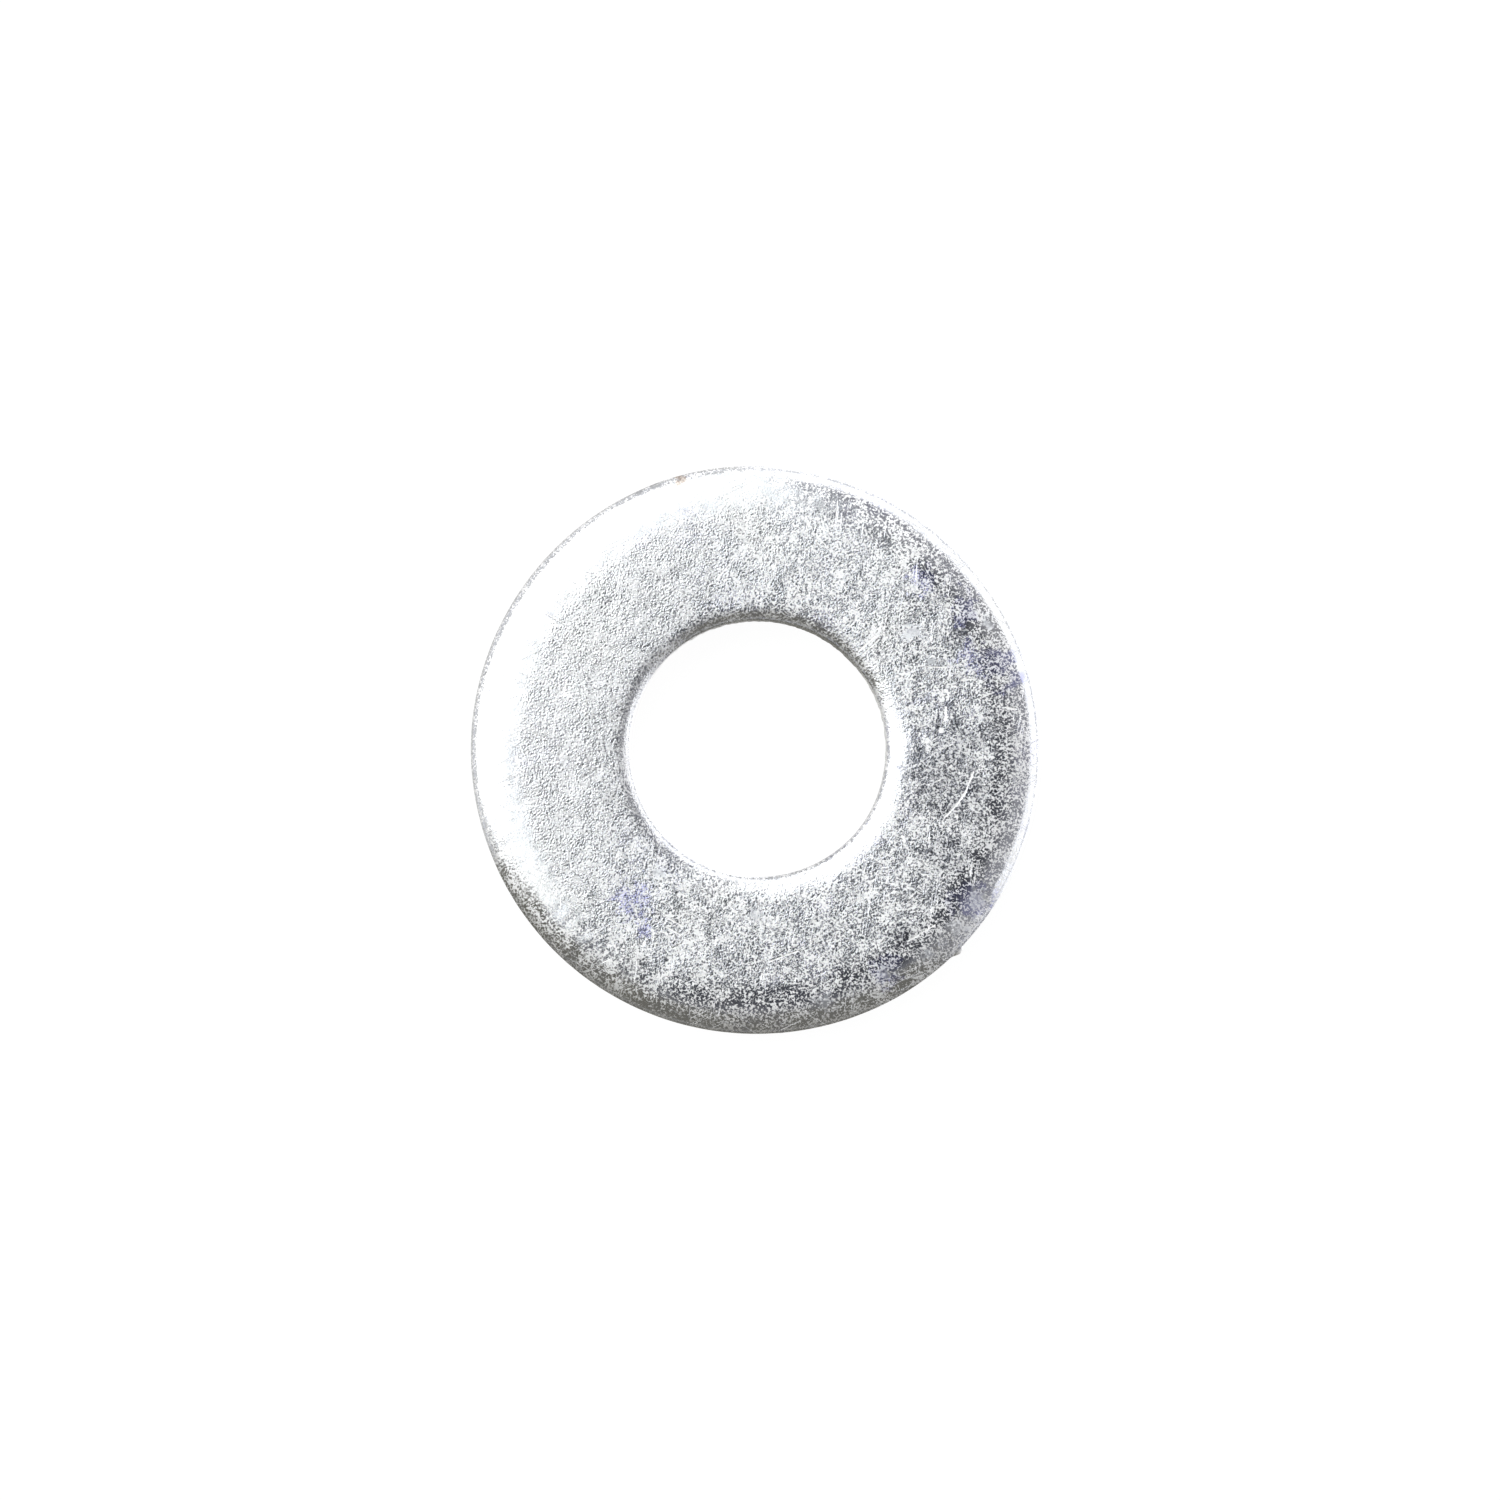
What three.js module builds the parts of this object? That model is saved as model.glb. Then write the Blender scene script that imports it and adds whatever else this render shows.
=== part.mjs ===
// A plain flat washer, stamped from sheet steel and zinc plated.
//
// Units are millimetres and +Z is up. The origin is the middle of the bolt hole on the lower
// face, so the washer stands on the plane z = 0.
//
// The washer is one section turned round the hole's axis. The section has what a blanking press
// leaves on a real washer. Both of its upper edges are rolled over, because the sheet sags into
// the die before it shears. Below each roll the wall is burnished and straight, and below that
// the steel has torn, so the wall leans away from the cut a little. Tumbling before plating has
// broken the two lower edges.

import * as THREE from 'three';

// Driving dimensions: the narrow inch-series washer for a quarter-inch bolt.
const OUTER_DIAMETER = 15.88;
const HOLE_DIAMETER = 7.14;
const THICKNESS = 1.65;

// The rolled upper edges: how far each reaches over the top face, and how far it drops.
const OUTER_ROLL = { width: 1.5, drop: 0.32, steps: 9 };
const HOLE_ROLL = { width: 0.55, drop: 0.24, steps: 6 };

// The sheared walls: the burnished share of the thickness, and how far the torn part leans away.
const BURNISHED_SHARE = 0.35;
const OUTER_LEAN = 0.07;
const HOLE_LEAN = 0.05;

// The broken lower edges, as a small flat at 45 degrees.
const EDGE_BREAK = 0.09;

// Straight facets round one full turn.
const FACETS_ROUND = 96;

const outerRadius = OUTER_DIAMETER / 2;
const holeRadius = HOLE_DIAMETER / 2;

/**
 * A rolled edge as a quarter of an ellipse, from the flat top face out to the upright wall.
 * `towards` is +1 for the outer edge and -1 for the hole's edge.
 */
function rolledEdge(wallRadius, towards, { width, drop, steps }) {
  const points = [];
  for (let step = 0; step <= steps; step += 1) {
    const turn = (Math.PI / 2) * (step / steps);
    points.push(new THREE.Vector2(
      wallRadius - towards * width * (1 - Math.sin(turn)),
      THICKNESS - drop * (1 - Math.cos(turn)),
    ));
  }
  return points;
}

/**
 * A sheared wall from below its roll to the lower face: the foot of the burnished band, the torn
 * band's foot, and the broken edge on the lower face.
 */
function shearedWall(wallRadius, towards, lean, { drop }) {
  const burnishedFoot = THICKNESS - drop - BURNISHED_SHARE * THICKNESS;
  const tornRadius = wallRadius - towards * lean;
  return [
    new THREE.Vector2(wallRadius, burnishedFoot),
    new THREE.Vector2(tornRadius, EDGE_BREAK),
    new THREE.Vector2(tornRadius - towards * EDGE_BREAK, 0),
  ];
}

/** The closed section of the ring: radius across, height up. */
function washerSection() {
  const outerSide = [
    ...rolledEdge(outerRadius, 1, OUTER_ROLL),
    ...shearedWall(outerRadius, 1, OUTER_LEAN, OUTER_ROLL),
  ];
  const holeSide = [
    ...rolledEdge(holeRadius, -1, HOLE_ROLL),
    ...shearedWall(holeRadius, -1, HOLE_LEAN, HOLE_ROLL),
  ];
  const section = [...holeSide, ...outerSide.reverse()];
  section.push(section[0].clone());
  return section;
}

const zincPlate = new THREE.MeshStandardMaterial({
  name: 'zinc_plate',
  color: 0xb8bbc1,
  roughness: 0.42,
  metalness: 1.0,
});

// A lathe turns its section round Y, so the ring is laid over to stand on Z.
const ring = new THREE.LatheGeometry(washerSection(), FACETS_ROUND);
ring.rotateX(Math.PI / 2);

const washer = new THREE.Mesh(ring, zincPlate);
washer.name = 'washer';

const flatWasher = new THREE.Group();
flatWasher.name = 'flat_washer';
flatWasher.add(washer);

export default flatWasher;
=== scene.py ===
# %% [markdown]
# # A zinc-plated flat washer
#
# A plain washer is a ring cut from sheet steel by a press, tumbled smooth and plated with zinc.
# It looks simple, so everything depends on three things: the section that the press leaves,
# the small unevenness of tumbled steel, and the way bright zinc picks up the light round it.
# This lesson makes them in that order. First the CAD model comes in as a fixed frame.

# %% Load the frame
import math

import bpy
import numpy as np
from mathutils import Matrix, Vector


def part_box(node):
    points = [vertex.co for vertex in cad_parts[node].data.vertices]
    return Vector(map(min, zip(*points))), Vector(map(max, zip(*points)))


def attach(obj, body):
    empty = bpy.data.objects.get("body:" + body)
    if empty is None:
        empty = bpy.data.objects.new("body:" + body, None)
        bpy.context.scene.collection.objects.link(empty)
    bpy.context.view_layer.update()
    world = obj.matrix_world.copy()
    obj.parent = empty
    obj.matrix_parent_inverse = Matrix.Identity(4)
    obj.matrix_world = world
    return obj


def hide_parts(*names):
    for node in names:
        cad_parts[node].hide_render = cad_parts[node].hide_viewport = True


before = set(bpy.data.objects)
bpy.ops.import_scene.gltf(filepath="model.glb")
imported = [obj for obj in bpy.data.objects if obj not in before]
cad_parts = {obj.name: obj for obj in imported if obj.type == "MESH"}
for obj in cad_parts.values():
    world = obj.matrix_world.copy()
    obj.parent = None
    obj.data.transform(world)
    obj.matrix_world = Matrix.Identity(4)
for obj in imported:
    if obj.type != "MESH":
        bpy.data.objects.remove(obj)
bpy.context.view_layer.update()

MM = 0.001

# %% [markdown]
# ## The sizes that the frame gives
#
# The ring's outer radius and thickness are half the CAD box's width and its height. The box says
# nothing about the hole, so the hole's radius is the smallest distance from the axis to any
# corner of the CAD mesh. Blender's model keeps these three sizes.

# %% Measure the CAD ring
low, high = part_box("washer")
cad_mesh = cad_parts["washer"].data
corners = np.empty(len(cad_mesh.vertices) * 3)
cad_mesh.vertices.foreach_get("co", corners)
corners = corners.reshape(-1, 3)

outer_radius = (high.x - low.x) / 2
hole_radius = np.hypot(corners[:, 0], corners[:, 1]).min()
thickness = high.z - low.z
print(f"ring: {2 * outer_radius / MM:.2f} mm over a {2 * hole_radius / MM:.2f} mm hole,",
      f"{thickness / MM:.2f} mm thick")

# %% [markdown]
# ## The section a blanking press leaves
#
# The punch first drags the sheet down, so both upper edges are rolled over. Then it shears a
# straight, burnished band, and last the steel tears and leaves a rough band that leans away
# from the cut. A circle's quarter would make the roll too even: the real one starts very gently
# and drops fast at the wall. A superellipse has that shape with one extra number, its belly.

# %% The section's sizes
OUTER_ROLL = {"width": 1.50 * MM, "drop": 0.42 * MM, "belly": 3.0, "sway": 0.05}
HOLE_ROLL = {"width": 0.74 * MM, "drop": 0.25 * MM, "belly": 3.2, "sway": 0.30}
HOLE_ROLL_HEADING = math.radians(-48)
DROP_SWAY = 0.15
BURNISHED_SHARE = 0.30
OUTER_LEAN = 0.07 * MM
HOLE_LEAN = 0.05 * MM
EDGE_BREAK = 0.09 * MM


# %% How the rows of the grid are shared out
TURNS = 724
FINE_STEPS = 2000
ROWS = {"hole_wall": 13, "hole_roll": 18, "flat": 38, "outer_roll": 38, "outer_wall": 15,
        "edge_break": 3, "underside": 9}
angle = np.linspace(0, 2 * np.pi, TURNS, endpoint=False)[:, None]


def even_turns(width, drop, belly, rows):
    """Parameters t from the flat face, 0, to the wall, a quarter turn, that set a roll's rows
    at even distances: the length along the curve is summed up in fine steps and read back."""
    t = np.linspace(0, np.pi / 2, FINE_STEPS)
    across = width * np.sin(t) ** (2 / belly)
    down = drop * (1 - np.cos(t))
    along = np.append(0, np.cumsum(np.hypot(np.diff(across), np.diff(down))))
    return np.interp(np.linspace(0, along[-1], rows + 1), along, t)


def ripple(harmonics, seed):
    """A closed ripple round the ring, between about -1 and 1: cosines of whole numbers of waves
    with random phases, each one weaker in proportion to its number."""
    chance = np.random.default_rng(seed)
    total = np.zeros_like(angle)
    for count in harmonics:
        total += np.cos(count * angle + chance.uniform(0, 2 * np.pi)) / count
    return total / np.abs(total).max()


# %% [markdown]
# ## One rolled edge, one sheared wall
#
# Each stretch of the section is a function that returns two arrays: the distance from the axis
# and the height, with one line for each turn round the ring and one column for each row of the
# grid. Sizes may be arrays with one value for each turn, so no two sections are quite alike.

# %% Stretches of the section
def rolled_edge(wall, towards, roll, uneven):
    """A rolled edge from the flat face to the wall. Across it runs as width times sin(t) to the
    power 2 / belly, and down it runs as drop times 1 - cos(t)."""
    rows = ROWS["outer_roll"] if towards > 0 else ROWS["hole_roll"]
    t = even_turns(roll["width"], roll["drop"], roll["belly"], rows)[None, :]
    width = roll["width"] * (1 + roll["sway"] * uneven)
    drop = roll["drop"] * (1 + DROP_SWAY * uneven)
    radius = wall - towards * width * (1 - np.sin(t) ** (2 / roll["belly"]))
    height = thickness - drop * (1 - np.cos(t))
    return radius, height


def sheared_wall(wall, towards, lean, top, foot, rows):
    """A wall from under its roll to the edge break: straight down over the burnished band, then
    leaning away from the cut in proportion to the depth below that band's foot."""
    share = np.linspace(0, 1, rows + 1)[None, 1:]
    height = top + (EDGE_BREAK - top) * share
    torn = np.clip((foot - height) / (foot - EDGE_BREAK), 0, 1)
    return wall - towards * lean * torn + 0 * height, height, torn + 0 * angle


def broken_edge(radius, towards):
    """The lower edge, rounded by tumbling: a quarter of a circle from the wall to the face."""
    t = np.linspace(0, np.pi / 2, ROWS["edge_break"] + 1)[None, 1:]
    return (radius - towards * EDGE_BREAK * (1 - np.cos(t)),
            EDGE_BREAK * (1 - np.sin(t)) + 0 * radius)


# %% [markdown]
# ## The whole section, all the way round
#
# The stretches join into one loop: up the hole's wall, over the top, down the outer wall and
# back along the underside. The loop closes on itself, so the ring is a closed surface.

# %% Join the stretches
OUTER_WANDER = 0.012 * MM
HOLE_WANDER = 0.008 * MM
OUTER_FOOT_WANDER = 0.05 * MM
HOLE_FOOT_WANDER = 0.04 * MM
LOPSIDED_SHARE = 0.8

outer_wall = outer_radius - OUTER_WANDER * (1 - ripple(range(2, 7), seed=3))
hole_wall = hole_radius + HOLE_WANDER * (1 - ripple(range(2, 6), seed=4))
outer_uneven = ripple(range(1, 12), seed=5)
hole_uneven = (LOPSIDED_SHARE * np.cos(angle - HOLE_ROLL_HEADING)
               + (1 - LOPSIDED_SHARE) * ripple(range(2, 8), seed=6))

outer_r, outer_z = rolled_edge(outer_wall, 1, OUTER_ROLL, outer_uneven)
hole_r, hole_z = rolled_edge(hole_wall, -1, HOLE_ROLL, hole_uneven)
outer_foot = (outer_z[:, -1:] - BURNISHED_SHARE * thickness
              + OUTER_FOOT_WANDER * ripple(range(3, 60), seed=7))
hole_foot = (hole_z[:, -1:] - BURNISHED_SHARE * thickness
             + HOLE_FOOT_WANDER * ripple(range(3, 40), seed=8))
rim_r, rim_z, rim_torn = sheared_wall(
    outer_wall, 1, OUTER_LEAN, outer_z[:, -1:], outer_foot, ROWS["outer_wall"])
bore_r, bore_z, bore_torn = sheared_wall(
    hole_wall, -1, HOLE_LEAN, hole_z[:, -1:], hole_foot, ROWS["hole_wall"])
rim_edge_r, rim_edge_z = broken_edge(rim_r[:, -1:], 1)
bore_edge_r, bore_edge_z = broken_edge(bore_r[:, -1:], -1)

across = np.linspace(0, 1, ROWS["flat"] + 1)[None, 1:-1]
flat_r = hole_r[:, :1] + (outer_r[:, :1] - hole_r[:, :1]) * across
back = np.linspace(0, 1, ROWS["underside"] + 2)[None, 1:-1]
under_r = rim_edge_r[:, -1:] + (bore_edge_r[:, -1:] - rim_edge_r[:, -1:]) * back

radius = np.hstack([bore_edge_r[:, ::-1], bore_r[:, ::-1], hole_r[:, ::-1], flat_r, outer_r,
                    rim_r, rim_edge_r, under_r])
height = np.hstack([bore_edge_z[:, ::-1], bore_z[:, ::-1], hole_z[:, ::-1],
                    np.full_like(flat_r, thickness), outer_z,
                    rim_z, rim_edge_z, np.zeros_like(under_r)])
print(f"section: {radius.shape[1]} rows, {TURNS} turns,",
      f"{2 * radius.size:,} triangles")

# %% [markdown]
# ## From the section to points in space
#
# Turning the section round the axis is one line of trigonometry. The punch that cut this hole
# sat a few hundredths of a millimetre off centre, so everything near the hole moves with it and
# the rim stays where it is. Blanking also leaves the upper face very slightly domed: it falls
# with the square of the distance from the hole's roll, and a little towards the hole as well.
#
# Three masks follow for later steps. "Steep" marks slopes where the relief is worn down, "wall"
# marks the upright walls, and "rolled" marks the outer rolled edge.

# %% Turn the section
PUNCH_OFFSET = np.array([0.060, 0.022]) * MM
DOME = 0.085 * MM
DISH = 0.016 * MM
DISH_WIDTH = 1.9 * MM
STEEP_SLOPES = (14, 34)
WALL_UPRIGHT = (0.5, 0.9)
ROLLED_WIDTH = 0.40 * MM

dome_start = hole_radius + HOLE_ROLL["width"]
outwards = np.clip((radius - dome_start) / (outer_radius - dome_start), 0, 1)
inwards = np.clip((hole_radius + DISH_WIDTH - radius) / DISH_WIDTH, 0, 1)
height = height - (DOME * outwards ** 2 + DISH * inwards ** 2) * height / thickness

near_hole = np.clip((outer_radius - radius) / (outer_radius - hole_radius), 0, 1)
points = np.stack([
    radius * np.cos(angle) + PUNCH_OFFSET[0] * near_hole,
    radius * np.sin(angle) + PUNCH_OFFSET[1] * near_hole,
    height,
], axis=-1)


def grid_normals(grid):
    """Outward unit normals of a grid that closes on itself both ways: the cross product of the
    steps to the neighbouring rows and to the neighbouring turns."""
    along_section = np.roll(grid, -1, axis=1) - np.roll(grid, 1, axis=1)
    round_ring = np.roll(grid, -1, axis=0) - np.roll(grid, 1, axis=0)
    normal = np.cross(along_section, round_ring)
    return normal / np.linalg.norm(normal, axis=-1, keepdims=True)


def soft_step(low_end, high_end, value):
    """0 below one end, 1 above the other, and 3s^2 - 2s^3 in between."""
    share = np.clip((value - low_end) / (high_end - low_end), 0, 1)
    return share * share * (3 - 2 * share)


normals = grid_normals(points)
upright = 1 - np.abs(normals[..., 2])
steep = soft_step(*(1 - math.cos(math.radians(slope)) for slope in STEEP_SLOPES), upright)
wall = soft_step(*WALL_UPRIGHT, upright)
outer_roll_start = outer_radius - OUTER_ROLL["width"]
rolled = soft_step(outer_roll_start, outer_roll_start + ROLLED_WIDTH, radius)
print(f"punch offset: {np.hypot(*PUNCH_OFFSET) / MM:.3f} mm")

# %% [markdown]
# ## Which part of the surface is torn
#
# The torn share of the walls was worked out with the walls. It is laid into a grid of the same
# size as the points, and it guides both the relief and the finish. The finish reads it from a
# named attribute on the mesh.

# %% Lay out the torn band
TORN_START = 0.25

torn = np.zeros_like(radius)
first_bore = ROWS["edge_break"]
first_rim = radius.shape[1] - ROWS["underside"] - ROWS["edge_break"] - ROWS["outer_wall"]
torn[:, first_bore:first_bore + ROWS["hole_wall"]] = bore_torn[:, ::-1]
torn[:, first_rim:first_rim + ROWS["outer_wall"]] = rim_torn
torn = soft_step(0.0, TORN_START, torn)

# %% [markdown]
# ## Tumbled steel is never flat
#
# Washers knock against each other in the tumbling drum, which leaves low hills and hollows of
# several sizes, each only a few thousandths of a millimetre high. Hills are made as a sum of
# plane waves in random directions, which never repeats and has no seam on a ring. Most of the
# light's play on the finished washer comes from these slopes.

# %% Random hills
def hills(place, length, seed, waves=28):
    """Smooth random hills of about the given length, with a root mean square height of 1: the
    sum of cosines of k . p + phase over random directions, with |k| near 2 pi / length."""
    chance = np.random.default_rng(seed)
    heading = chance.normal(size=(waves, 3))
    heading /= np.linalg.norm(heading, axis=1, keepdims=True)
    wave_number = 2 * np.pi / length * chance.uniform(0.75, 1.3, (waves, 1))
    phase = chance.uniform(0, 2 * np.pi, waves)
    total = np.zeros(place.shape[:-1])
    for direction, offset in zip(heading * wave_number, phase):
        total += np.cos(place @ direction + offset)
    return total / math.sqrt(waves / 2)


# %% Hills on the faces and on the torn band
FLAT_HILLS = [
    # height and length in millimetres, and seed
    (4.0e-3, 3.4, 11),
    (1.6e-3, 1.2, 12),
    (0.8e-3, 0.50, 13),
    (0.3e-3, 0.26, 14),
]
TORN_HILLS = [
    (6e-3, 0.42, 15),
    (5e-3, 0.20, 16),
]
STEEP_WEAR = 0.5


def hill_sizes(sizes):
    """Hills of several sizes added up."""
    return sum(rise * hills(points, length * MM, seed) for rise, length, seed in sizes) * MM


relief = hill_sizes(FLAT_HILLS) * (1 - STEEP_WEAR * steep) + hill_sizes(TORN_HILLS) * torn
print(f"relief: {relief.min() / MM:.3f} to {relief.max() / MM:.3f} mm")

# %% [markdown]
# ## Knocks, chips and a burr
#
# Larger knocks are single craters with a low rim pushed up round them. A few stand where they
# catch the eye, near the rim, and many small ones fall at random. Two broad, low swellings lie
# beside the hole. One lip of steel stands out of the wall, where the die let a burr through.

# %% Knocks and the burr
KNOCKS = [
    # angle in degrees, distance from the axis, size and depth in millimetres; a negative
    # depth is a swelling
    (-71, 7.80, 0.13, 0.045),
    (-35, 7.55, 0.45, 0.020),
    (-60, 7.35, 0.55, 0.022),
    (112, 7.80, 0.16, 0.030),
    (121, 7.84, 0.20, 0.030),
    (-8, 3.90, 1.50, -0.018),
    (160, 3.70, 1.60, -0.010),
]
SMALL_KNOCKS = {"count": 90, "distance": (3.9, 7.7), "size": (0.10, 0.26),
                "depth": (0.002, 0.007)}
BURR_ANGLE = math.radians(-44.7)
BURR_REACH = 0.12 * MM
BURR_HEIGHT = 0.70 * MM
BURR_HALF_WIDTH = 0.20 * MM
BURR_HALF_HEIGHT = 0.16 * MM
BURR_DEPTH = 0.3 * MM


def crater(place, centre, size, depth):
    """A knock's height: -depth (1 - s^2) exp(-s^2), where s is the distance over the size."""
    s2 = ((place - centre) ** 2).sum(axis=-1) / size ** 2
    return -depth * (1 - s2) * np.exp(-s2)


def on_upper_face(degrees, distance):
    """The point on the upper face at an angle and a distance from the axis."""
    turn = np.radians(degrees)
    return np.array([distance * np.cos(turn), distance * np.sin(turn), thickness])


for degrees, distance, size, depth in KNOCKS:
    relief += crater(points, on_upper_face(degrees, distance * MM), size * MM, depth * MM)
chance = np.random.default_rng(21)
for _ in range(SMALL_KNOCKS["count"]):
    place = on_upper_face(chance.uniform(0, 360), chance.uniform(*SMALL_KNOCKS["distance"]) * MM)
    relief += crater(points, place, chance.uniform(*SMALL_KNOCKS["size"]) * MM,
                     chance.uniform(*SMALL_KNOCKS["depth"]) * MM)

round_wall = (angle - BURR_ANGLE + np.pi) % (2 * np.pi) - np.pi
burr = BURR_REACH * np.exp(
    -(round_wall * outer_radius / BURR_HALF_WIDTH) ** 2
    - ((height - BURR_HEIGHT) / BURR_HALF_HEIGHT) ** 2)
relief += burr * (radius > outer_radius - BURR_DEPTH)

points = points + normals * relief[..., None]
points[..., 2] = np.clip(points[..., 2], 0, None)

# %% [markdown]
# ## The grid becomes a mesh
#
# Each cell of the grid is one quad. Its corners are numbered by whole arrays: the next turn and
# the next row wrap round to the first, so the surface has no edge anywhere.

# %% Make the mesh
turns, rows = radius.shape
number = np.arange(turns * rows).reshape(turns, rows)
next_row = np.roll(number, -1, axis=1)
next_turn = np.roll(number, -1, axis=0)
quads = np.stack([number, next_row, np.roll(next_row, -1, axis=0), next_turn], axis=-1)

mesh = bpy.data.meshes.new("plated_ring")
mesh.vertices.add(points.size // 3)
mesh.vertices.foreach_set("co", points.ravel())
mesh.loops.add(quads.size)
mesh.loops.foreach_set("vertex_index", quads.ravel())
mesh.polygons.add(quads.size // 4)
mesh.polygons.foreach_set("loop_start", np.arange(0, quads.size, 4))
mesh.update(calc_edges=True)
mesh.shade_smooth()
mesh.validate()

for name, values in (("torn", torn), ("rolled", rolled), ("wall", wall)):
    attribute = mesh.attributes.new(name, "FLOAT", "POINT")
    attribute.data.foreach_set("value", values.ravel().astype(np.float32))

ring = bpy.data.objects.new("plated_ring", mesh)
bpy.context.scene.collection.objects.link(ring)
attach(ring, "root")
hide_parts("washer")
print(f"mesh: {len(mesh.vertices):,} corners, {len(mesh.polygons):,} quads")

# %% [markdown]
# ## A map of the surface
#
# A map unrolls the surface into a square. A ring like this comes apart well into two flat
# rings: the underside as it is, and the upper face with both walls laid out flat, the hole's
# wall inwards and the outer wall outwards. The underside is turned over, so that its map isn't
# a mirror image.

# %% Lay out the map
MAP_MARGIN = 0.01
MAP_SPREAD = 1.02

upper_rows = rows - ROWS["underside"]
mean_radius = radius.mean(axis=0)
mean_height = height.mean(axis=0)
step = np.hypot(np.diff(mean_radius[:upper_rows]), np.diff(mean_height[:upper_rows]))
unrolled = np.append(0, np.cumsum(step))
middle = ROWS["edge_break"] + ROWS["hole_wall"] + ROWS["hole_roll"] + ROWS["flat"] // 2
unrolled += mean_radius[middle] - unrolled[middle]
upper_reach = unrolled[-1]
under_reach = mean_radius[upper_rows - 1]
map_scale = (1 - 2 * MAP_MARGIN) / ((MAP_SPREAD * (upper_reach + under_reach))
                                    * (1 + math.sqrt(0.5)))
upper_centre = MAP_MARGIN + map_scale * upper_reach
under_centre = 1 - MAP_MARGIN - map_scale * under_reach

turn_of = np.append(angle[:, 0], 2 * np.pi)
upper_map = np.stack([
    upper_centre + map_scale * unrolled[None, :] * np.cos(turn_of)[:, None],
    upper_centre + map_scale * unrolled[None, :] * np.sin(turn_of)[:, None],
], axis=-1)
under_radius = np.append(mean_radius[upper_rows - 1:], mean_radius[0])
under_map = np.stack([
    under_centre + map_scale * under_radius[None, :] * np.cos(turn_of)[:, None],
    under_centre - map_scale * under_radius[None, :] * np.sin(turn_of)[:, None],
], axis=-1)


def quad_places(grid):
    """The four corners of each cell of a grid of map places, in the order of the quads."""
    return np.stack([grid[:-1, :-1], grid[:-1, 1:], grid[1:, 1:], grid[1:, :-1]], axis=2)


places = np.concatenate([quad_places(upper_map), quad_places(under_map)], axis=1)
uv = mesh.uv_layers.new(name="OFBake")
uv.data.foreach_set("uv", places.astype(np.float32).ravel())
print(f"map: {map_scale * MM * 1024:.1f} points of a 1024 map to the millimetre")

# %% [markdown]
# ## Effects as node groups
#
# The finish is built from small effects, each one a shader node group with named sockets. A group
# puts out only a mask, a value, a colour or a normal, and the one material at the end decides
# what to do with them. Short helpers keep the wiring readable: one makes a group with its
# sockets, one adds a node and sets or links each of its inputs, and the others are for the nodes
# that are used most.

# %% Helpers for wiring
KINDS = {"value": "NodeSocketFloat", "vector": "NodeSocketVector", "colour": "NodeSocketColor"}


def new_group(name, inputs, outputs):
    """A shader node group with the named sockets. Inputs map a name to (kind, default), and
    outputs map a name to a kind. The group's own input and output nodes come back with it."""
    tree = bpy.data.node_groups.new(name, "ShaderNodeTree")
    for socket, (kind, default) in inputs.items():
        made = tree.interface.new_socket(socket, in_out="INPUT", socket_type=KINDS[kind])
        made.default_value = default
    for socket, kind in outputs.items():
        tree.interface.new_socket(socket, in_out="OUTPUT", socket_type=KINDS[kind])
    return tree, tree.nodes.new("NodeGroupInput").outputs, tree.nodes.new("NodeGroupOutput").inputs


def add(tree, kind, inputs=None, **settings):
    """A new node of a kind. Settings are its properties, and inputs map a socket's name or
    number to a constant or to another node's output."""
    node = tree.nodes.new(kind)
    for name, value in settings.items():
        setattr(node, name, value)
    for socket, value in (inputs or {}).items():
        if isinstance(value, bpy.types.NodeSocket):
            tree.links.new(value, node.inputs[socket])
        else:
            node.inputs[socket].default_value = value
    return node


def calc(tree, operation, *values):
    """The result of a Math node on up to three constants or outputs."""
    return add(tree, "ShaderNodeMath", dict(enumerate(values)), operation=operation).outputs[0]


def vector(tree, operation, *values):
    """A Vector Math node on up to two vectors."""
    return add(tree, "ShaderNodeVectorMath", dict(enumerate(values)), operation=operation)


def smooth(tree, value, start, end, low=0.0, high=1.0):
    """A value carried from start..end to low..high along a smooth step, and held outside."""
    return add(tree, "ShaderNodeMapRange",
               {"Value": value, "From Min": start, "From Max": end, "To Min": low, "To Max": high},
               interpolation_type="SMOOTHSTEP").outputs[0]


def mix(tree, share, first, second):
    """Two colours mixed by a share."""
    return add(tree, "ShaderNodeMix", {"Factor": share, "A": first, "B": second},
               data_type="RGBA").outputs["Result"]


def use(tree, group, inputs):
    """A group's node with its inputs set or linked."""
    return add(tree, "ShaderNodeGroup", inputs, node_tree=group).outputs


def lessened(tree, mask, loss):
    """What is left where a mask takes a share away: 1 - loss * mask."""
    return calc(tree, "MULTIPLY_ADD", mask, -loss, 1.0)


# %% [markdown]
# ## The grain
#
# Steel that was tumbled and etched before plating has a grain of about a twentieth of a
# millimetre. Two noises make it. One is bent by its own distortion into short, crooked worms and
# gives the height. The other makes crumbs, which a slower noise gathers into clumps. Where it is
# high the zinc has grown matt, and such a fleck catches light from far and wide. Between the
# flecks the plating is almost a mirror.

# %% The grain group
CRUMB_PITCH = 0.9
CLUMP_PITCH = 0.13
CLUMPING = 0.35
FLECK_START, FLECK_FULL = 0.505, 0.56

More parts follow.
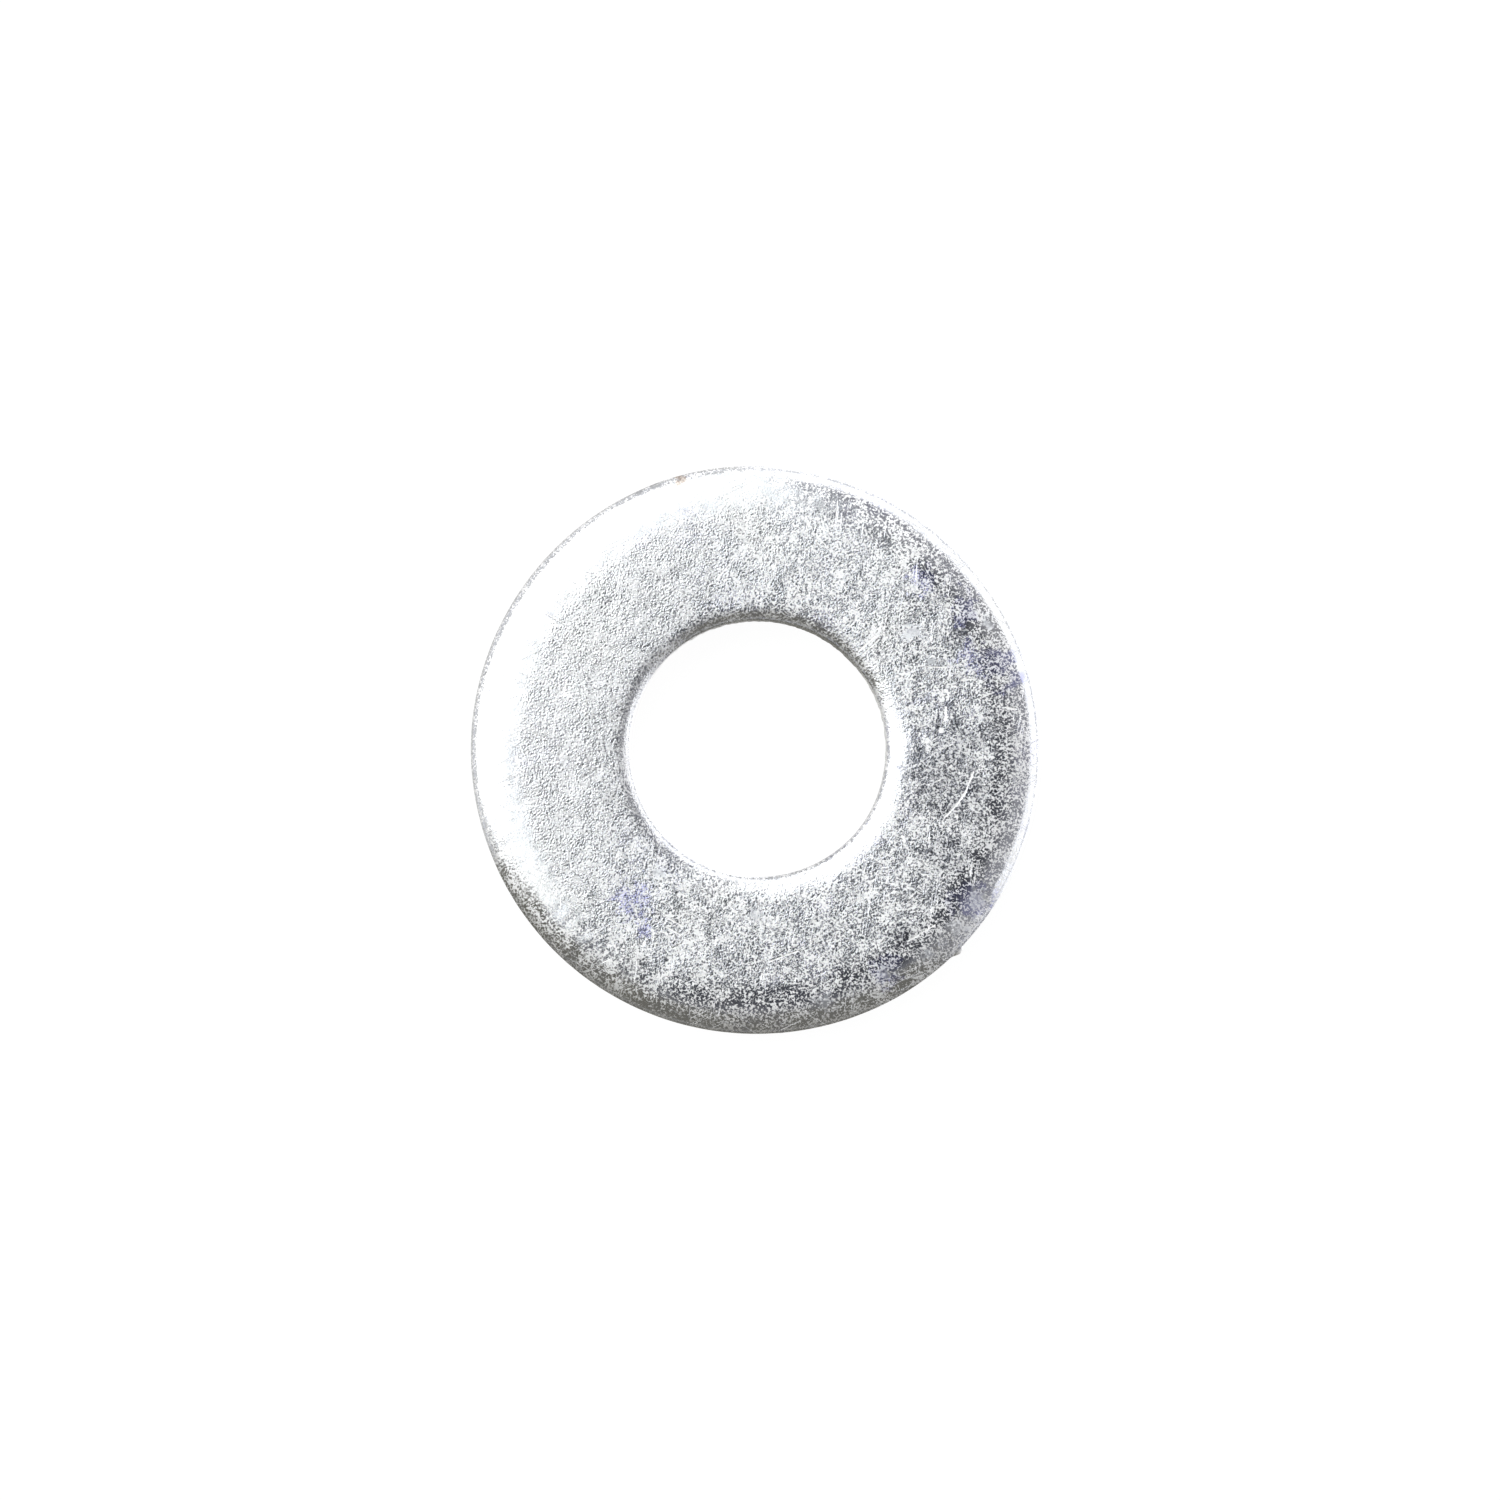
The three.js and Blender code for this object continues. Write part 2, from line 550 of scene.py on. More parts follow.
grain, given, result = new_group(
    "Tumbled grain",
    {"Place": ("vector", (0, 0, 0)), "Length": ("value", 0.055 * MM)},
    {"Height": "value", "Flecks": "value"})
per_length = calc(grain, "DIVIDE", 1.0, given["Length"])
worms = add(grain, "ShaderNodeTexNoise",
            {"Vector": given["Place"], "Scale": per_length, "Detail": 1.0, "Roughness": 0.5,
             "Distortion": 0.5})
crumbs = add(grain, "ShaderNodeTexNoise",
             {"Vector": vector(grain, "ADD", given["Place"], (0.01, 0.02, 0.03)).outputs[0],
              "Scale": calc(grain, "MULTIPLY", per_length, CRUMB_PITCH), "Detail": 1.0,
              "Distortion": 0.8})
clumps = add(grain, "ShaderNodeTexNoise",
             {"Vector": given["Place"], "Scale": calc(grain, "MULTIPLY", per_length, CLUMP_PITCH),
              "Detail": 1.0})
crowding = calc(grain, "MULTIPLY_ADD", calc(grain, "SUBTRACT", clumps.outputs[0], 0.5), CLUMPING,
                crumbs.outputs[0])
flecks = smooth(grain, crowding, FLECK_START, FLECK_FULL)
grain.links.new(worms.outputs[0], result["Height"])
grain.links.new(flecks, result["Flecks"])

# %% [markdown]
# ## Hairlines
#
# Parts that rub in a box scratch each other at every angle. One family of hairlines is a noise
# stretched some fortyfold along one heading, kept only where it is very high, and broken up by a
# slower noise. The material uses the group three times with different headings.

# %% The hairline group
STRAND_START, STRAND_FULL = 0.68, 0.76
PATCH_SIZE = 0.9 * MM
PATCH_START, PATCH_FULL = 0.50, 0.60

hairlines, given, result = new_group(
    "Hairlines",
    {"Place": ("vector", (0, 0, 0)), "Heading": ("value", 0.0), "Width": ("value", 0.03 * MM),
     "Length": ("value", 1.2 * MM)},
    {"Mask": "value"})
turned = add(hairlines, "ShaderNodeVectorRotate",
             {"Vector": given["Place"], "Angle": given["Heading"]}, rotation_type="Z_AXIS")
stretch = add(hairlines, "ShaderNodeCombineXYZ",
              {"X": calc(hairlines, "DIVIDE", 1.0, given["Length"]),
               "Y": calc(hairlines, "DIVIDE", 1.0, given["Width"]),
               "Z": calc(hairlines, "DIVIDE", 1.0, given["Length"])})
stretched = vector(hairlines, "MULTIPLY", turned.outputs[0], stretch.outputs[0]).outputs[0]
strands = add(hairlines, "ShaderNodeTexNoise",
              {"Vector": stretched, "Scale": 1.0, "Detail": 0.0})
patches = add(hairlines, "ShaderNodeTexNoise",
              {"Vector": turned.outputs[0], "Scale": 1 / PATCH_SIZE, "Detail": 1.0})
hairline_mask = calc(hairlines, "MULTIPLY",
                     smooth(hairlines, strands.outputs[0], STRAND_START, STRAND_FULL),
                     smooth(hairlines, patches.outputs[0], PATCH_START, PATCH_FULL))
hairlines.links.new(hairline_mask, result["Mask"])

# %% [markdown]
# ## A single scratch and a single spot
#
# Some marks stand alone. A scratch is every place nearer than half its width to the line between
# its two ends, and a spot is every place nearer than its radius to its centre. Both get a ragged
# edge from a fine noise that is added to the distance before it is compared.

# %% The scratch and spot groups
SCRATCH_SHAKE_SIZE = 0.12 * MM
SCRATCH_CLEAR, SCRATCH_FULL = 0.62, 0.28
SPOT_SHAKES = 1.4
SPOT_SHAKE_REACH = 4.0
SPOT_CLEAR, SPOT_FULL = 1.25, 0.55

scratch, given, result = new_group(
    "Scratch",
    {"Place": ("vector", (0, 0, 0)), "Start": ("vector", (0, 0, 0)), "End": ("vector", (0, 0, 0)),
     "Width": ("value", 0.06 * MM)},
    {"Mask": "value"})
run = vector(scratch, "SUBTRACT", given["End"], given["Start"]).outputs[0]
out = vector(scratch, "SUBTRACT", given["Place"], given["Start"]).outputs[0]
share = calc(scratch, "DIVIDE", vector(scratch, "DOT_PRODUCT", out, run).outputs["Value"],
             vector(scratch, "DOT_PRODUCT", run, run).outputs["Value"])
held = add(scratch, "ShaderNodeClamp", {"Value": share}).outputs[0]
foot = add(scratch, "ShaderNodeVectorMath", {0: run, "Scale": held}, operation="SCALE").outputs[0]
apart = vector(scratch, "DISTANCE", out, foot).outputs["Value"]
shake = add(scratch, "ShaderNodeTexNoise",
            {"Vector": given["Place"], "Scale": 1 / SCRATCH_SHAKE_SIZE, "Detail": 1.0}).outputs[0]
wander = calc(scratch, "MULTIPLY_ADD", calc(scratch, "SUBTRACT", shake, 0.5), given["Width"],
              apart)
scratch_mask = smooth(scratch, wander, calc(scratch, "MULTIPLY", given["Width"], SCRATCH_CLEAR),
                      calc(scratch, "MULTIPLY", given["Width"], SCRATCH_FULL))
scratch.links.new(scratch_mask, result["Mask"])

spot, given, result = new_group(
    "Spot",
    {"Place": ("vector", (0, 0, 0)), "Centre": ("vector", (0, 0, 0)),
     "Radius": ("value", 0.3 * MM), "Raggedness": ("value", 0.8)},
    {"Mask": "value"})
apart = vector(spot, "DISTANCE", given["Place"], given["Centre"]).outputs["Value"]
shake = add(spot, "ShaderNodeTexNoise",
            {"Vector": given["Place"],
             "Scale": calc(spot, "DIVIDE", SPOT_SHAKES, given["Radius"]),
             "Detail": 3.0}).outputs[0]
rough_edge = calc(spot, "MULTIPLY", calc(spot, "SUBTRACT", shake, 0.5),
                  calc(spot, "MULTIPLY",
                       calc(spot, "MULTIPLY", given["Radius"], SPOT_SHAKE_REACH),
                       given["Raggedness"]))
spot_mask = smooth(spot, calc(spot, "ADD", apart, rough_edge),
                   calc(spot, "MULTIPLY", given["Radius"], SPOT_CLEAR),
                   calc(spot, "MULTIPLY", given["Radius"], SPOT_FULL))
spot.links.new(spot_mask, result["Mask"])

# %% [markdown]
# ## The colour of the plating
#
# Bright zinc is almost neutral with a touch of blue. The passivating bath leaves a film thinner
# than light's own wavelength, so its colour changes with its thickness: faint violet here, faint
# yellow there. Two slow noises give the film its drifting patches.

# %% The plating colour group
ZINC = (0.640, 0.655, 0.690, 1)
VIOLET = (0.57, 0.57, 0.72, 1)
STRAW = (0.69, 0.69, 0.655, 1)
SLOW_DRIFT = 2.3 * MM
QUICK_DRIFT = 0.55 * MM
VIOLET_STRENGTH = 0.30
STRAW_STRENGTH = 0.35

plating, given, result = new_group(
    "Plating colour",
    {"Place": ("vector", (0, 0, 0)), "Film": ("value", 1.0)},
    {"Colour": "colour", "Patches": "value"})
slow = add(plating, "ShaderNodeTexNoise",
           {"Vector": given["Place"], "Scale": 1 / SLOW_DRIFT, "Detail": 3.0}).outputs[0]
quick = add(plating, "ShaderNodeTexNoise",
            {"Vector": given["Place"], "Scale": 1 / QUICK_DRIFT, "Detail": 2.0}).outputs[0]
violet_share = calc(plating, "MULTIPLY",
                    calc(plating, "MULTIPLY", given["Film"], VIOLET_STRENGTH),
                    calc(plating, "MULTIPLY", smooth(plating, slow, 0.52, 0.66),
                         smooth(plating, quick, 0.42, 0.62)))
straw_share = calc(plating, "MULTIPLY",
                   calc(plating, "MULTIPLY", given["Film"], STRAW_STRENGTH),
                   smooth(plating, slow, 0.47, 0.32))
tinted = mix(plating, violet_share, mix(plating, straw_share, ZINC, STRAW), VIOLET)
plating.links.new(tinted, result["Colour"])
plating.links.new(quick, result["Patches"])

# %% [markdown]
# ## The torn band
#
# Below the burnished band the steel broke instead of being cut. Plating covers it, but it stays
# rough and dull. The band's mask was laid on the mesh, and the group reads it there and frays it
# with upright streaks, which the passing tool leaves on both bands.

# %% The torn band group
STREAK_WIDTH = 0.09 * MM
STREAK_SQUEEZE = (1.0, 1.0, 0.06)
FRAYING = 0.9

sheared, given, result = new_group(
    "Sheared wall",
    {"Place": ("vector", (0, 0, 0))},
    {"Torn": "value", "Streaks": "value"})
read_torn = add(sheared, "ShaderNodeAttribute", attribute_name="torn").outputs["Fac"]
squeezed = vector(sheared, "MULTIPLY", given["Place"], STREAK_SQUEEZE).outputs[0]
streak = add(sheared, "ShaderNodeTexNoise",
             {"Vector": squeezed, "Scale": 1 / STREAK_WIDTH, "Detail": 2.0}).outputs[0]
frayed = smooth(sheared, calc(sheared, "MULTIPLY_ADD", calc(sheared, "SUBTRACT", streak, 0.5),
                              FRAYING, read_torn), 0.35, 0.65)
sheared.links.new(frayed, result["Torn"])
sheared.links.new(streak, result["Streaks"])
print("groups:", ", ".join(group.name for group in bpy.data.node_groups))

# %% [markdown]
# ## One material for the whole ring
#
# The plating is one metal, so there is one metallic surface. The effects only change its colour,
# its roughness and its normal. The grain is worn down where the outer edge rolls over and on the
# walls, because the tumbling stones and the tool have rubbed there. The attributes called rolled
# and wall say where that is.

# %% Marks that stand alone
SCRATCHES = [
    # start and end on the upper face and width, in millimetres
    ((6.04, -0.62), (5.82, -1.18), 0.045),
    ((5.82, -1.18), (5.55, -1.58), 0.060),
    ((5.55, -1.58), (5.22, -1.92), 0.050),
    ((5.26, 1.16), (5.25, 0.78), 0.060),
    ((5.71, 1.91), (6.10, 1.95), 0.040),
    ((4.78, 2.28), (5.23, 2.26), 0.035),
    ((6.97, 1.16), (7.22, 1.11), 0.060),
    ((2.84, 2.71), (3.31, 3.14), 0.045),
    ((2.95, 2.62), (3.40, 3.03), 0.035),
    ((4.78, -0.99), (5.12, -0.86), 0.040),
    ((-2.45, -4.72), (-2.02, -4.95), 0.045),
    ((-2.50, -4.95), (-2.10, -5.18), 0.035),
    ((4.20, -5.35), (4.95, -4.90), 0.040),
    ((-0.62, 5.30), (-1.10, 4.72), 0.040),
    ((0.35, -5.92), (1.15, -5.62), 0.045),
]
WHITE_SPOTS = [
    # centre on the upper face and radius, in millimetres
    ((5.14, 0.51), 0.085),
    ((5.57, -1.90), 0.055),
    ((5.41, -0.49), 0.050),
    ((6.08, 0.95), 0.040),
]
VIOLET_SPOTS = [
    ((6.80, 2.30), 0.60), ((6.00, 2.60), 0.40), ((4.65, 4.71), 0.38), ((5.79, 3.93), 0.42),
    ((-3.40, -4.22), 0.46), ((-3.15, -5.02), 0.24), ((5.93, -4.21), 0.55), ((3.57, -6.15), 0.42),
]
PALE_SPOTS = [
    ((4.37, 3.25), 0.24), ((6.49, 3.50), 0.20), ((-0.04, -4.63), 0.20), ((-2.69, -3.43), 0.18),
    ((4.86, 2.44), 0.14), ((5.55, -4.95), 0.34), ((6.10, -4.15), 0.28), ((3.60, -6.30), 0.26),
    ((1.85, -7.02), 0.24), ((4.75, -5.75), 0.18),
]
# painted shade: dark patches on the side away from the soft box, centre and radius in millimetres
PAINTED_SHADE_PATCHES = [
    ((5.35, -0.10), 0.95), ((4.70, -0.60), 0.60), ((5.70, -1.40), 0.65), ((5.25, -3.00), 0.65),
    ((5.65, 3.20), 0.45), ((4.10, -5.20), 0.40),
]
# painted highlight: the burr's lip is painted nearly white, so that it looks pale
BURR_HIGHLIGHT_FROM_AXIS = outer_radius + 0.04 * MM
BURR_HIGHLIGHT_RADIUS = 0.20 * MM
HAIRLINES = [
    # heading in radians, then width and length in millimetres
    (0.5, 0.030, 1.5), (1.7, 0.035, 1.1), (2.7, 0.028, 1.8),
]
GRAIN_LENGTH = 0.056 * MM
BROWN_SPOTS = [((-2.10, 7.53), 0.20)]
DARK_SPOTS = [((-2.80, 7.34), 0.16), ((-3.25, 7.14), 0.14), ((-3.67, 6.95), 0.12)]


# %% Wire the material
zinc = bpy.data.materials.new("zinc plate")
zinc.use_nodes = True
tree = zinc.node_tree
tree.nodes.clear()
place = add(tree, "ShaderNodeTexCoord").outputs["Object"]
rolled_mask = add(tree, "ShaderNodeAttribute", attribute_name="rolled").outputs["Fac"]
wall_mask = add(tree, "ShaderNodeAttribute", attribute_name="wall").outputs["Fac"]


def union(masks):
    """The largest of several masks."""
    total = masks[0]
    for mask in masks[1:]:
        total = calc(tree, "MAXIMUM", total, mask)
    return total


upper_r = mean_radius[ROWS["edge_break"] + ROWS["hole_wall"]:first_rim + ROWS["outer_wall"]]
upper_z = mean_height[ROWS["edge_break"] + ROWS["hole_wall"]:first_rim + ROWS["outer_wall"]]


def on_top(at):
    """A point of the upper side in metres, with the height that the mean section has there."""
    distance = math.hypot(*at) * MM
    return (at[0] * MM, at[1] * MM, float(np.interp(distance, upper_r, upper_z)))


def spots(marks, raggedness):
    """One mask for several spots on the upper face."""
    return union([use(tree, spot, {"Place": place, "Centre": on_top(at), "Radius": size * MM,
                                   "Raggedness": raggedness})["Mask"] for at, size in marks])


scratch_all = union([use(tree, scratch, {"Place": place, "Start": on_top(start),
                                         "End": on_top(end), "Width": width * MM})["Mask"]
                     for start, end, width in SCRATCHES])
hairline_all = union([use(tree, hairlines, {"Place": place, "Heading": heading,
                                            "Width": width * MM, "Length": length * MM})["Mask"]
                      for heading, width, length in HAIRLINES])
# painted highlight on the burr's lip, joined to the white spots
burr_highlight = use(tree, spot, {"Place": place, "Radius": BURR_HIGHLIGHT_RADIUS, "Raggedness": 0.6,
                             "Centre": (BURR_HIGHLIGHT_FROM_AXIS * math.cos(BURR_ANGLE),
                                        BURR_HIGHLIGHT_FROM_AXIS * math.sin(BURR_ANGLE),
                                        BURR_HEIGHT)})["Mask"]
white_spots_and_burr_highlight = calc(tree, "MAXIMUM", spots(WHITE_SPOTS, 0.25), burr_highlight)
violet_all = spots(VIOLET_SPOTS, 1.0)
pale_all = spots(PALE_SPOTS, 1.0)
painted_shade_all = spots(PAINTED_SHADE_PATCHES, 1.0)
brown_all = spots(BROWN_SPOTS, 0.8)
dark_all = spots(DARK_SPOTS, 0.8)

grains = use(tree, grain, {"Place": place, "Length": GRAIN_LENGTH})
film = use(tree, plating, {"Place": place})
shear = use(tree, sheared, {"Place": place})

# %% [markdown]
# ## Colour, roughness and relief
#
# The side that faces the soft box is painted lighter, a painted sheen. There fewer flecks are
# left, and the grain stands out more.
#
# Colour: the film's colour, lighter on the side that faces the soft box, which is a painted sheen,
# darker in a few patches on the side away from it, which is painted shade, nearly white in the
# flecks, violet, pale or brown where the spots are, greyer on the torn band, and nearly white on
# the burr's lip, a painted highlight. Roughness: almost a mirror between the flecks, matt in the
# flecks, in scratches and on the torn band. Relief: the grain, the hairlines, the scratches and
# the tool's streaks push the normal about.

# %% Colour
FLECK_COLOUR = (0.93, 0.935, 0.945, 1)
PALE = (0.84, 0.865, 0.91, 1)
BROWN = (0.42, 0.30, 0.20, 1)
DARK = (0.16, 0.16, 0.17, 1)
TORN_COLOUR = (0.50, 0.495, 0.48, 1)
# white of the scratches, spots and hairlines, and of the burr's painted highlight
MARK_AND_HIGHLIGHT_WHITE = (0.95, 0.95, 0.95, 1)
PAINTED_SHADE_COLOUR = (0.26, 0.27, 0.31, 1)
INDIGO = (0.38, 0.39, 0.66, 1)
# painted sheen: lighter zinc on the side along this heading, the side that faces the soft box
LIT_SIDE_HEADING = (-0.94, 0.34, 0)
LIT_SIDE_ZINC = (0.680, 0.686, 0.694, 1)

LIT_SIDE_FROM, LIT_SIDE_FULL = 0.5 * MM, 5.0 * MM
LIT_SIDE_FLECK_LOSS = 0.45
PAINTED_SHADE_FLECK_LOSS = 0.2
CALM_FLECK_LOSS = 0.6


def part(mask, share):
    """A mask cut down to a share of itself: share * mask."""
    return calc(tree, "MULTIPLY", mask, share)


calm = calc(tree, "MAXIMUM", part(wall_mask, 0.7), part(pale_all, 0.3))
# mask of the side that faces the soft box, where the zinc is painted lighter as a sheen
lit_side_along = vector(tree, "DOT_PRODUCT", place, LIT_SIDE_HEADING).outputs["Value"]
lit_side = calc(tree, "MULTIPLY", smooth(tree, lit_side_along, LIT_SIDE_FROM, LIT_SIDE_FULL),
            calc(tree, "SUBTRACT", 1.0, rolled_mask))
flecks_left = calc(tree, "MULTIPLY_ADD", lit_side, -LIT_SIDE_FLECK_LOSS,
                   lessened(tree, painted_shade_all, PAINTED_SHADE_FLECK_LOSS))
fleck_share = calc(tree, "MULTIPLY", flecks_left,
                   calc(tree, "MULTIPLY", grains["Flecks"],
                        lessened(tree, calm, CALM_FLECK_LOSS)))
marks_and_burr_highlight = calc(tree, "MAXIMUM", calc(tree, "MAXIMUM", white_spots_and_burr_highlight, scratch_all),
                    part(hairline_all, 0.45))
layers = [
    # mask and colour, each laid over the ones before it
    # painted sheen: lighter zinc on the side that faces the soft box
    (part(lit_side, 0.5), LIT_SIDE_ZINC),
    # painted shade in a few patches on the side away from the soft box
    (part(painted_shade_all, 0.75), PAINTED_SHADE_COLOUR),
    (part(violet_all, 0.6), INDIGO),
    (fleck_share, FLECK_COLOUR),
    (part(violet_all, 0.16), INDIGO),
    (part(pale_all, 0.4), PALE),
    (part(shear["Torn"], 0.6), TORN_COLOUR),
    (part(brown_all, 0.55), BROWN),
    (part(dark_all, 0.4), DARK),
    # scratches, white spots and hairlines, with the burr's painted highlight among them
    (marks_and_burr_highlight, MARK_AND_HIGHLIGHT_WHITE),
]
colour = film["Colour"]
for mask, over in layers:
    colour = mix(tree, mask, colour, over)

# %% Roughness
MIRROR_ROUGHNESS = 0.13
FLECK_ROUGHNESS = 0.42
PATCH_ROUGHNESS = 0.06
PALE_ROUGHNESS = 0.16
TORN_ROUGHNESS = 0.20
DARK_ROUGHNESS = 0.25
MARK_ROUGHNESS = 0.6

rough = calc(tree, "MULTIPLY_ADD", fleck_share, FLECK_ROUGHNESS, MIRROR_ROUGHNESS)
rough = calc(tree, "MULTIPLY_ADD", film["Patches"], PATCH_ROUGHNESS,
             calc(tree, "SUBTRACT", rough, PATCH_ROUGHNESS / 2))
rough = calc(tree, "MULTIPLY_ADD", pale_all, PALE_ROUGHNESS, rough)
rough = calc(tree, "MULTIPLY_ADD", shear["Torn"], TORN_ROUGHNESS, rough)
rough = calc(tree, "MAXIMUM", rough, part(marks_and_burr_highlight, MARK_ROUGHNESS))
rough = calc(tree, "MULTIPLY_ADD", dark_all, DARK_ROUGHNESS, rough)

# %% Relief
GRAIN_DEPTH = 10.5e-3 * MM
SCRATCH_DEPTH = 8e-3 * MM
STREAK_DEPTH = 10e-3 * MM
TORN_DEPTH = 14e-3 * MM
CALM_GRAIN_LOSS = 0.8
ROLLED_GRAIN_LOSS = 0.72
LIT_SIDE_GRAIN_GAIN = 0.55

grain_share = calc(tree, "MULTIPLY", lessened(tree, calm, CALM_GRAIN_LOSS),
                   lessened(tree, rolled_mask, ROLLED_GRAIN_LOSS))
fine_grain = calc(tree, "MULTIPLY", grains["Height"],
                  calc(tree, "MULTIPLY", calc(tree, "MULTIPLY_ADD", lit_side, LIT_SIDE_GRAIN_GAIN, 1.0),
                       part(grain_share, GRAIN_DEPTH)))
cuts = part(calc(tree, "MAXIMUM", hairline_all, scratch_all), SCRATCH_DEPTH)
tool_streaks = part(calc(tree, "MULTIPLY", shear["Streaks"], wall_mask), STREAK_DEPTH)
torn_grain = part(calc(tree, "MULTIPLY", grains["Height"], shear["Torn"]), TORN_DEPTH)
raised = calc(tree, "ADD", calc(tree, "ADD", fine_grain, tool_streaks), torn_grain)
bump = add(tree, "ShaderNodeBump", {"Height": calc(tree, "SUBTRACT", raised, cuts),
                                    "Strength": 1.0, "Distance": 1.0})

# %% Shader
metal = add(tree, "ShaderNodeBsdfPrincipled",
            {"Base Color": colour, "Roughness": rough, "Normal": bump.outputs[0],
             "Metallic": 1.0})
add(tree, "ShaderNodeOutputMaterial", {"Surface": metal.outputs[0]})
mesh.materials.append(zinc)
print(f"material: {len(tree.nodes)} nodes, {len(bpy.data.node_groups)} groups")

# %% [markdown]
# ## The floor
#
# The washer lies on a plain white sheet. It glows a little itself, which keeps it evenly white
# and leaves only a faint shadow under the ring. The metal doesn't mirror it: what the metal
# mirrors is drawn in the world below, where it can be set for every direction.

# %% Lay the floor
FLOOR_SIDE = 3.0
FLOOR_GAP = 0.02 * MM
PAPER = (0.08, 0.08, 0.08, 1)
PAPER_GLOW = 0.96

floor_mesh = bpy.data.meshes.new("floor")
side = FLOOR_SIDE / 2
floor_mesh.from_pydata([(-side, -side, 0), (side, -side, 0), (side, side, 0), (-side, side, 0)],
                       [], [(0, 1, 2, 3)])
floor = bpy.data.objects.new("floor", floor_mesh)
bpy.context.scene.collection.objects.link(floor)
floor.location.z = -FLOOR_GAP
sheet = bpy.data.materials.new("white sheet")
sheet.use_nodes = True
sheet_tree = sheet.node_tree
sheet_tree.nodes.clear()
paper = add(sheet_tree, "ShaderNodeBsdfPrincipled",
            {"Base Color": PAPER, "Roughness": 0.9, "Specular IOR Level": 0.0,
             "Emission Color": (1, 1, 1, 1), "Emission Strength": PAPER_GLOW})
add(sheet_tree, "ShaderNodeOutputMaterial", {"Surface": paper.outputs[0]})
floor_mesh.materials.append(sheet)
floor.visible_glossy = False

# %% [markdown]
# ## The studio light
#
# A metal shows its surroundings, so the light is a picture of a small photo tent. Overhead is
# the dim opening for the camera. A large soft box stands to one side, and its edge reaches nearly
# to the zenith, so the faintest slope of the upper face tips it into the light or out of it.
# White walls close three sides, and the side in front stays dark. A grey strip runs along the
# horizon, where the walls stand on the floor, and it draws the thin outline round the rim. Each
# of these is a mask of the direction: its height over the horizon and its heading round the
# vertical.

# %% Directions as masks
world = bpy.data.worlds.new("photo tent")
bpy.context.scene.world = world
world.use_nodes = True
sky = world.node_tree
sky.nodes.clear()
heading = add(sky, "ShaderNodeTexCoord").outputs["Generated"]
direction = vector(sky, "NORMALIZE", heading).outputs[0]
rise = add(sky, "ShaderNodeSeparateXYZ", {0: direction}).outputs["Z"]
flattened = vector(sky, "MULTIPLY", direction, (1, 1, 0)).outputs[0]
level_direction = vector(sky, "NORMALIZE", flattened).outputs[0]


def compass(degrees):
    """The level unit vector with this heading."""
    turn = math.radians(degrees)
    return (math.cos(turn), math.sin(turn), 0)


def aslant(degrees, polar):
    """The unit vector with this heading and this angle from the zenith."""
    tilt = math.radians(polar)
    flat = compass(degrees)
    return (flat[0] * math.sin(tilt), flat[1] * math.sin(tilt), math.cos(tilt))


def cap(degrees, polar, inner, outer):
    """A round patch of sky: 1 within the inner angle of its centre and 0 beyond the outer."""
    near = vector(sky, "DOT_PRODUCT", direction, aslant(degrees, polar)).outputs["Value"]
    return smooth(sky, near, math.cos(math.radians(outer)), math.cos(math.radians(inner)))


def below(start, end):
    """1 for directions further than the end angle from the zenith, 0 nearer than the start."""
    return smooth(sky, rise, math.cos(math.radians(start)), math.cos(math.radians(end)))


def sector(degrees, inner, outer):
    """1 for headings within the inner angle of the middle one, 0 beyond the outer."""
    near = vector(sky, "DOT_PRODUCT", level_direction, compass(degrees)).outputs["Value"]
    return smooth(sky, near, math.cos(math.radians(outer)), math.cos(math.radians(inner)))


def both(first, second):
    """The overlap of two masks: their product."""
    return calc(sky, "MULTIPLY", first, second)


# %% Paint the tent
CEILING = (0.060, 0.063, 0.073, 1)
SHADE = (0.37, 0.37, 0.39, 1)
FRONT = (0.200, 0.193, 0.170, 1)
HORIZON = (0.82, 0.81, 0.78, 1)
WALL = (1.70, 1.70, 1.71, 1)
SOFT_EDGE = (1.46, 1.49, 1.47, 1)
SOFT_BOX = (3.1, 3.1, 3.12, 1)
UNDER = (0.95, 0.95, 0.94, 1)
SEAM = (0.96, 0.96, 0.98, 1)

SOFT_BOX_AT = (147, 50)
FRONT_OVER_SEAM = 0.85

